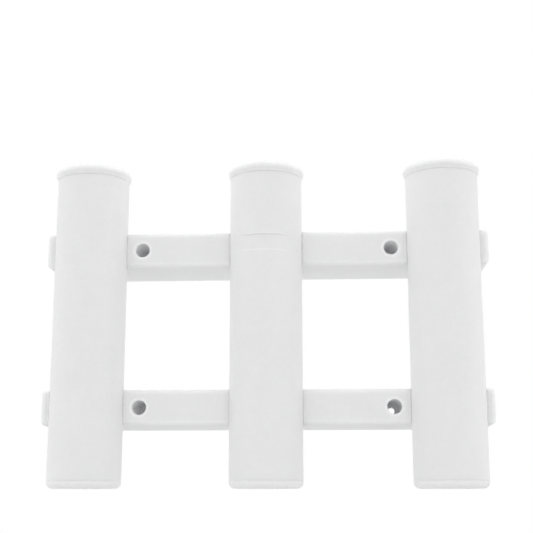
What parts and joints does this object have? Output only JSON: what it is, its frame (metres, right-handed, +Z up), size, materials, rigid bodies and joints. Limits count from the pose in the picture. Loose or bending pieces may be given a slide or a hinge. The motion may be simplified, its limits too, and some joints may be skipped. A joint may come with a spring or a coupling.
{
  "type": "rod holder",
  "caption": "Wall rack that stores fishing rods upright in open-mouthed round tubes with drained bottoms, carried by horizontal rails with deep screw holes.",
  "frame": {"origin": "centre of the rectangle of wall screw holes, on the wall plane", "axes": "+X along the rails to the right, +Y into the wall, +Z up along the tubes; the front of the rack faces -Y"},
  "size_m": [0.2976, 0.07, 0.213],
  "materials": {
    "tube_plastic": "satin moulded white",
    "ring_vinyl": "smooth bright white",
    "cap_plastic": "satin moulded white",
    "rail_plastic": "satin moulded white",
    "screw_steel": "stainless",
    "washer_steel": "stainless"
  },
  "bodies": {
    "root": {"left_tube": "tube_plastic", "centre_tube": "tube_plastic", "right_tube": "tube_plastic", "left_mouth_ring": "ring_vinyl", "centre_mouth_ring": "ring_vinyl", "right_mouth_ring": "ring_vinyl", "left_bottom_cap": "cap_plastic", "centre_bottom_cap": "cap_plastic", "right_bottom_cap": "cap_plastic", "upper_rail": "rail_plastic", "lower_rail": "rail_plastic", "upper_tube_screws": "screw_steel", "lower_tube_screws": "screw_steel", "upper_tube_washers": "washer_steel", "lower_tube_washers": "washer_steel"}
  },
  "joints": []
}
